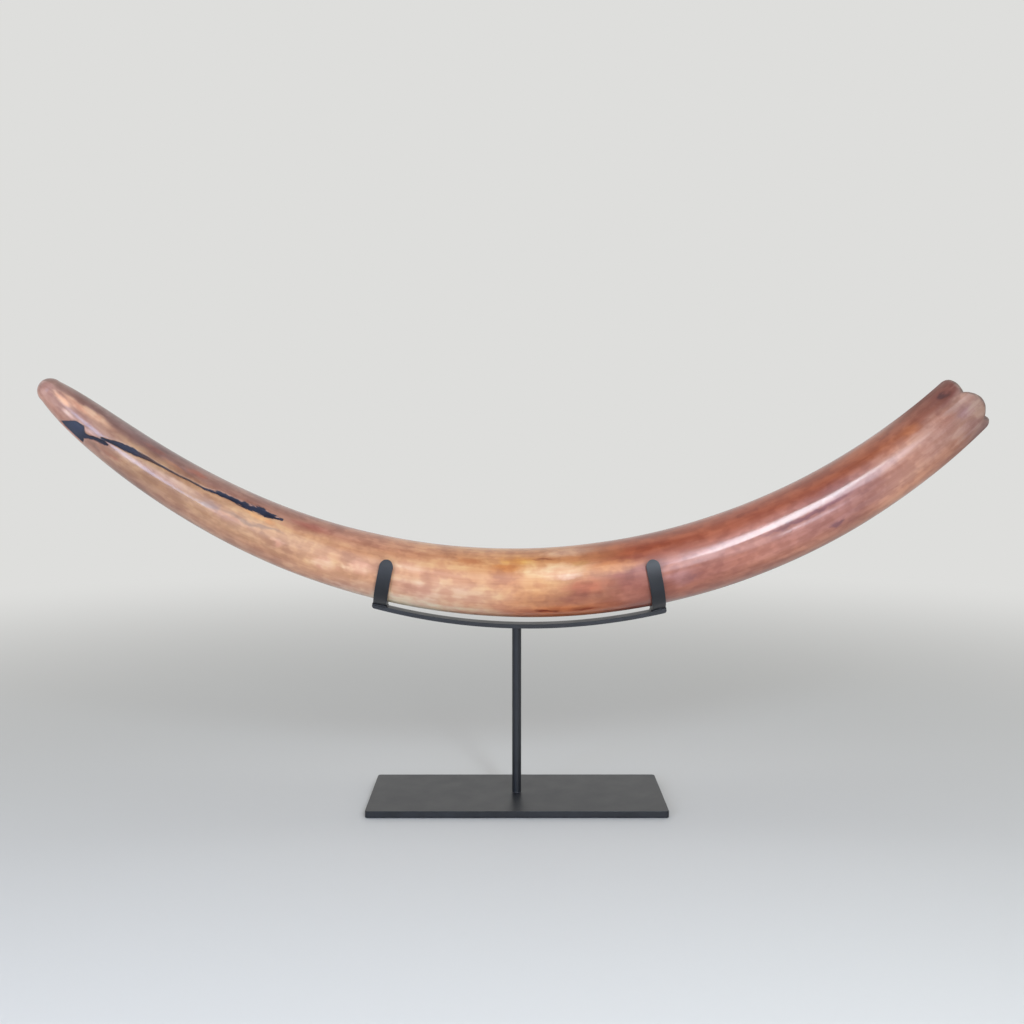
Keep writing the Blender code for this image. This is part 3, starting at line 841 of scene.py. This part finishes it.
def make_ivory():
    """Mammoth ivory, polished and waxed: it gives the eye a warm streaky colour that changes along
    the tusk, under a thin clear gloss. The broken root end and the cavity stay matt."""
    MOTTLED_EDGE, STREAKY_EDGE = (0.030, 0.011, 0.0), (0.016, 0.003, 0.0)
    TOP_STARTS, TOP_FULL = 0.40, 0.75
    UNDER_AND_BOUNCE_STARTS, UNDER_AND_BOUNCE_FULL = -0.30, -0.80
    FRAY_REACH = 0.010
    DIRT_STARTS, DIRT_FULL = 0.0006, -0.0008
    SLATE_STARTS, SLATE_FULL, SLATE_SHARE = 0.46, 0.60, 0.35
    RIM_RAW_FULL, CAVITY_DARK_FULL = 0.8, 1.35
    POLISH_THINS, POLISH_ENDS = 0.470, 0.545
    POLISHED_AND_WORN = (("Coat Weight", 0.9, 0.05), ("Roughness", 0.42, 0.70))
    material = bpy.data.materials.new("polished_mammoth_ivory")
    material.use_nodes = True
    tree = material.node_tree
    shader = tree.nodes["Principled BSDF"]
    skin = put(tree, "ShaderNodeAttribute", attribute_name="straight").outputs["Vector"]
    cleft = put(tree, "ShaderNodeAttribute", attribute_name="cleft").outputs["Fac"]
    broken = put(tree, "ShaderNodeAttribute", attribute_name="broken").outputs["Fac"]
    axis = put(tree, "ShaderNodeSeparateXYZ", {0: skin}).outputs
    pattern = {}
    for name, (length, width, detail) in PATTERNS.items():
        stretched = put(tree, "ShaderNodeVectorMath", {
            0: skin, 1: (1.0 / length, 1.0 / width, 1.0 / width)}, operation="MULTIPLY")
        pattern[name] = put(tree, "ShaderNodeTexNoise", {
            "Vector": stretched, "Scale": 1.0, "Detail": detail, "Roughness": 0.55})

    # Place on the skin laid flat: X along the tusk, Y the distance round from its front. The
    # patterns shift it a little, so that stains and changes of colour get uneven edges.
    forward = put(tree, "ShaderNodeMath", {0: axis["Y"], 1: -1.0}, operation="MULTIPLY")
    angle = put(tree, "ShaderNodeMath", {0: axis["Z"], 1: forward}, operation="ARCTAN2")
    arc = put(tree, "ShaderNodeMath", {0: angle, 1: FULL_RADIUS}, operation="MULTIPLY")
    ragged = put(tree, "ShaderNodeCombineXYZ", {"X": axis["X"], "Y": arc})
    for name, reach in (("mottle", MOTTLED_EDGE), ("streak", STREAKY_EDGE)):
        uneven = put(tree, "ShaderNodeVectorMath", {
            0: pattern[name].outputs["Color"], 1: (0.5, 0.5, 0.5)}, operation="SUBTRACT")
        shift = put(tree, "ShaderNodeVectorMath", {0: uneven, 1: reach}, operation="MULTIPLY")
        ragged = put(tree, "ShaderNodeVectorMath", {0: ragged, 1: shift}, operation="ADD")
    along = put(tree, "ShaderNodeSeparateXYZ", {0: ragged}).outputs
    progress = put(tree, "ShaderNodeMapRange", {
        "Value": along["X"], "From Min": -TIP_REACH, "From Max": ROOT_REACH})
    upward = put(tree, "ShaderNodeMath", {
        0: along["Y"], 1: 1.0 / FULL_RADIUS}, operation="MULTIPLY")
    level = put(tree, "ShaderNodeMath", {0: upward}, operation="SINE")
    colour = put(tree, "ShaderNodeValToRGB", {"Fac": progress}, stops=FRONT_COLOURS)
    # The underside's ramp carries painted light as well as colour: it is paler, as if lit from the
    # floor.
    for starts, full, colours in (
            (TOP_STARTS, TOP_FULL, TOP_COLOURS), (UNDER_AND_BOUNCE_STARTS, UNDER_AND_BOUNCE_FULL, UNDER_COLOURS_WITH_PAINTED_BOUNCE)):
        share = put(tree, "ShaderNodeMapRange", {
            "Value": level, "From Min": starts, "From Max": full}, interpolation_type="SMOOTHSTEP")
        other = put(tree, "ShaderNodeValToRGB", {"Fac": progress}, stops=colours)
        colour = put(tree, "ShaderNodeMix", {
            "Factor": share, 6: colour, 7: other}, data_type="RGBA").outputs[2]

    # Real stains and the painted highlights and dark reflection alike blend in here as soft patches.
    for s, degrees, half_length, half_height, lean, patch_colour, strength in STAINS_AND_PAINTED_LIGHT:
        spot = put(tree, "ShaderNodeMapping", {
            "Vector": ragged, "Location": (s, math.radians(degrees) * FULL_RADIUS, 0.0),
            "Rotation": (0.0, 0.0, math.radians(lean)), "Scale": (half_length, half_height, 1.0)},
            vector_type="TEXTURE")
        away = put(tree, "ShaderNodeVectorMath", {0: spot}, operation="LENGTH").outputs["Value"]
        share = put(tree, "ShaderNodeMapRange", {
            "Value": away, "From Min": PATCH_OUTER_EDGE, "From Max": PATCH_INNER_EDGE,
            "To Max": strength}, interpolation_type="SMOOTHSTEP")
        colour = put(tree, "ShaderNodeMix", {
            "Factor": share, 6: colour, 7: linear(patch_colour)}, data_type="RGBA").outputs[2]

    # Clouds, mottling, streaks and grain lighten and darken whatever colour lies there. The
    # grain of real ivory is finer than this; it is drawn as coarse as it needs to show.
    for name, dark, light, lowest, highest in TONES:
        tone = put(tree, "ShaderNodeValToRGB", {"Fac": pattern[name]}, stops=(
            (lowest, dark), (highest, light)))
        colour = put(tree, "ShaderNodeMix", {
            "Factor": 1.0, 6: colour, 7: tone}, data_type="RGBA", blend_type="OVERLAY").outputs[2]

    # Growth bands cross the tusk, and show most in its pale middle.
    plain_progress = put(tree, "ShaderNodeMapRange", {
        "Value": axis["X"], "From Min": -TIP_REACH, "From Max": ROOT_REACH})
    share = put(tree, "ShaderNodeValToRGB", {"Fac": plain_progress}, stops=BANDS_SHOW)
    tone = put(tree, "ShaderNodeValToRGB", {"Fac": pattern["band"]}, stops=(
        (0.38, "#B6B0AC"), (0.62, "#C4C2C1")))
    colour = put(tree, "ShaderNodeMix", {
        "Factor": share, 6: colour, 7: tone}, data_type="RGBA", blend_type="OVERLAY").outputs[2]

    # Inside the chip and the crack: old dirt, slate blue to navy, brown where the crack is thin.
    # Its edge is frayed towards the crack's two ends, and clean where the crack is thin.
    fraying = put(tree, "ShaderNodeValToRGB", {"Fac": plain_progress}, stops=DIRT_FRAYING)
    fraying = put(tree, "ShaderNodeMath", {0: fraying, 1: FRAY_REACH}, operation="MULTIPLY")
    frayed = put(tree, "ShaderNodeMath", {0: pattern["fray"], 1: 0.5}, operation="SUBTRACT")
    edge = put(tree, "ShaderNodeMath", {0: frayed, 1: fraying, 2: cleft}, operation="MULTIPLY_ADD")
    dirty = put(tree, "ShaderNodeMapRange", {
        "Value": edge, "From Min": DIRT_STARTS, "From Max": DIRT_FULL},
        interpolation_type="SMOOTHSTEP")
    dirt = put(tree, "ShaderNodeValToRGB", {"Fac": plain_progress}, stops=DIRT_COLOURS)
    slate = put(tree, "ShaderNodeMapRange", {
        "Value": pattern["mottle"], "From Min": SLATE_STARTS, "From Max": SLATE_FULL,
        "To Max": SLATE_SHARE})
    dirt = put(tree, "ShaderNodeMix", {
        "Factor": slate, 6: dirt, 7: linear("#2C334A")}, data_type="RGBA").outputs[2]
    colour = put(tree, "ShaderNodeMix", {
        "Factor": dirty, 6: colour, 7: dirt}, data_type="RGBA").outputs[2]

    # The broken rim and the cavity: unpolished, grey brown and darker inside.
    raw = put(tree, "ShaderNodeValToRGB", {"Fac": pattern["mottle"]}, stops=(
        (0.30, "#6E5650"), (0.70, "#A08A7C")))
    inside = put(tree, "ShaderNodeMapRange", {
        "Value": broken, "From Min": 1.0, "From Max": CAVITY_DARK_FULL})
    raw = put(tree, "ShaderNodeMix", {
        "Factor": inside, 6: raw, 7: linear("#4A3428")}, data_type="RGBA").outputs[2]
    bare = put(tree, "ShaderNodeMapRange", {
        "Value": broken, "From Min": 0.0, "From Max": RIM_RAW_FULL})
    colour = put(tree, "ShaderNodeMix", {
        "Factor": bare, 6: colour, 7: raw}, data_type="RGBA").outputs[2]
    tree.links.new(colour, shader.inputs["Base Color"])

    # Gloss: the wax coat wears off towards the root end and doesn't reach into the cracks.
    unpolished = put(tree, "ShaderNodeMapRange", {
        "Value": along["X"], "From Min": POLISH_THINS, "From Max": POLISH_ENDS},
        interpolation_type="SMOOTHSTEP")
    dull = put(tree, "ShaderNodeMath", {0: unpolished, 1: dirty}, operation="MAXIMUM")
    for name, polished, worn in POLISHED_AND_WORN:
        finish = put(tree, "ShaderNodeMapRange", {"Value": dull, "To Min": polished, "To Max": worn})
        tree.links.new(finish.outputs[0], shader.inputs[name])
    shader.inputs["Coat Roughness"].default_value = 0.13
    shader.inputs["Coat IOR"].default_value = 1.45
    shader.inputs["IOR"].default_value = 1.54

    fine = put(tree, "ShaderNodeBump", {
        "Height": pattern["grain"], "Strength": 0.15, "Distance": 0.0004})
    coarse = put(tree, "ShaderNodeBump", {
        "Height": pattern["speck"], "Normal": fine, "Strength": dull, "Distance": 0.0003})
    tree.links.new(coarse.outputs[0], shader.inputs["Normal"])
    return material


ivory = make_ivory()
tusk = make_straight_tusk()
guide = make_centreline_curve()
run_tree(tusk, make_bending_tree(), {
    "Centreline": guide, "Centreline start": float(centre_s[0]), "Swelling": 0.0008,
    "Fluting": 0.0003, "Cleft depth": 0.0016, "Broken edge": 0.0012, "Hollow depth": 0.0009,
    "Seed": 7.0, "Ivory": ivory})
bpy.data.objects.remove(guide, do_unlink=True)
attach(tusk, "root")
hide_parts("tusk")


# --- Floor, light and camera --------------------------------------------------------------
# A wide pale floor that runs out into a pale room. Softboxes in front draw the gleams along the
# right half and beside the crack, and broad fills light the rest. The camera stands a step and a
# half in front, a little lower than the tusk's two ends, and looks slightly down.

FLOOR_RADIUS = 12.0
FLOOR_LEVEL = -0.0003
FLOOR_FADE_START, FLOOR_FADE_END = 0.3, 2.4
ROOM_COLOUR = "#DEDEDC"
ROOM_LIGHT_IN_FRONT = 0.16
ROOM_FRONT, ROOM_BACK = -0.3, 0.5

# The camera's sensor and lens are in millimetres, and its turns in radians.
CAMERA_PLACE = (-0.00789, -1.46315, 0.45246)
CAMERA_SENSOR = 36.0
CAMERA_LENS = 43.39
CAMERA_LOOKS_DOWN = 0.07188
CAMERA_LOOKS_RIGHT = 0.00156


def make_floor():
    """A floor that fades into the room's own colour away from the stand."""
    bm = bmesh.new()
    bmesh.ops.create_circle(bm, cap_ends=True, segments=128, radius=FLOOR_RADIUS)
    bmesh.ops.translate(bm, vec=(0.0, 0.0, FLOOR_LEVEL), verts=bm.verts)
    mesh = bpy.data.meshes.new("floor")
    bm.to_mesh(mesh)
    bm.free()
    material = bpy.data.materials.new("pale_floor")
    material.use_nodes = True
    tree = material.node_tree
    shader = tree.nodes["Principled BSDF"]
    shader.inputs["Base Color"].default_value = linear("#D6D6D4")
    shader.inputs["Roughness"].default_value = 0.6
    room = put(tree, "ShaderNodeEmission", {"Color": linear(ROOM_COLOUR)})
    place = put(tree, "ShaderNodeTexCoord").outputs["Object"]
    away = put(tree, "ShaderNodeVectorMath", {0: place}, operation="LENGTH").outputs["Value"]
    fade = put(tree, "ShaderNodeMapRange", {
        "Value": away, "From Min": FLOOR_FADE_START, "From Max": FLOOR_FADE_END},
        interpolation_type="SMOOTHSTEP")
    blend = put(tree, "ShaderNodeMixShader", {0: fade, 1: shader, 2: room})
    tree.links.new(blend.outputs[0], tree.nodes["Material Output"].inputs["Surface"])
    mesh.materials.append(material)
    return new_piece("floor", mesh)


floor = make_floor()


def make_room():
    """A pale room all round. It lights the object from behind more than from the front, and looks
    equally bright everywhere."""
    world = bpy.data.worlds.new("pale room")
    bpy.context.scene.world = world
    world.use_nodes = True
    tree = world.node_tree
    seen = put(tree, "ShaderNodeLightPath").outputs["Is Camera Ray"]
    direction = put(tree, "ShaderNodeTexCoord").outputs["Generated"]
    backward = put(tree, "ShaderNodeSeparateXYZ", {0: direction}).outputs["Y"]
    light = put(tree, "ShaderNodeMapRange", {
        "Value": backward, "From Min": ROOM_FRONT, "From Max": ROOM_BACK,
        "To Min": ROOM_LIGHT_IN_FRONT, "To Max": 1.0}, interpolation_type="SMOOTHSTEP")
    brightness = put(tree, "ShaderNodeMath", {0: seen, 1: light}, operation="MAXIMUM")
    sky = tree.nodes["Background"]
    sky.inputs["Color"].default_value = linear(ROOM_COLOUR)
    tree.links.new(brightness.outputs[0], sky.inputs["Strength"])


make_room()


def add_softbox(name, place, aim, width, height, radiance, colour, mirrored=True):
    """A rectangular softbox that faces a point; radiance is how bright its face is."""
    light = bpy.data.lights.new(name, "AREA")
    light.shape = "RECTANGLE"
    light.size = width
    light.size_y = height
    light.energy = radiance * math.pi * width * height
    light.color = linear(colour)[:3]
    lamp = bpy.data.objects.new(name, light)
    lamp.location = place
    lamp.rotation_euler = (Vector(aim) - Vector(place)).to_track_quat("-Z", "Y").to_euler()
    lamp.visible_camera = False
    lamp.visible_glossy = mirrored
    bpy.context.scene.collection.objects.link(lamp)


add_softbox("right softbox", (0.54, -1.45, 0.98), (0.25, 0.0, 0.30), 0.60, 0.70, 4.6, "#E4ECFF")
add_softbox("right heart", (0.41, -1.44, 0.99), (0.25, 0.0, 0.30), 0.20, 0.76, 16.0, "#ECFAFF")
add_softbox("right shoulder", (0.28, -1.46, 0.94), (0.20, 0.0, 0.30), 0.11, 0.56, 5.5, "#D4DEFF")
add_softbox("middle softbox", (-0.42, -1.58, 0.62), (-0.20, 0.0, 0.30), 0.86, 1.10, 1.2, "#F4F6FF")
add_softbox("left softbox", (-0.86, -1.45, 0.47), (-0.46, 0.0, 0.42), 0.32, 0.60, 8.0, "#A4CAFF")
add_softbox("low softbox", (0.62, -1.60, 0.26), (0.20, 0.0, 0.28), 0.46, 0.44, 1.6, "#F2F2FF")
add_softbox("strap softbox", (0.367, -1.35, 0.42), (0.16, 0.0, 0.29), 0.165, 0.54, 5.0, "#EAF0FF")
add_softbox("front fill", (-0.30, -2.60, 0.80), (0.0, 0.0, 0.30), 2.6, 1.6, 0.60, "#FFFAF4", False)
add_softbox("left fill", (-0.90, -1.30, 0.45), (-0.40, 0.0, 0.38), 0.60, 0.60, 4.2, "#F6F6FF", False)
add_softbox("top fill", (0.0, 0.1, 1.9), (0.0, 0.0, 0.2), 1.8, 1.2, 0.7, "#FFFFFF", False)


def add_camera():
    lens = bpy.data.cameras.new("camera")
    lens.sensor_width = CAMERA_SENSOR
    lens.lens = CAMERA_LENS
    camera = bpy.data.objects.new("camera", lens)
    camera.location = CAMERA_PLACE
    camera.rotation_euler = (math.pi / 2.0 - CAMERA_LOOKS_DOWN, 0.0, -CAMERA_LOOKS_RIGHT)
    bpy.context.scene.collection.objects.link(camera)
    return camera


bpy.context.scene.camera = add_camera()
bpy.context.scene.view_settings.view_transform = "Standard"
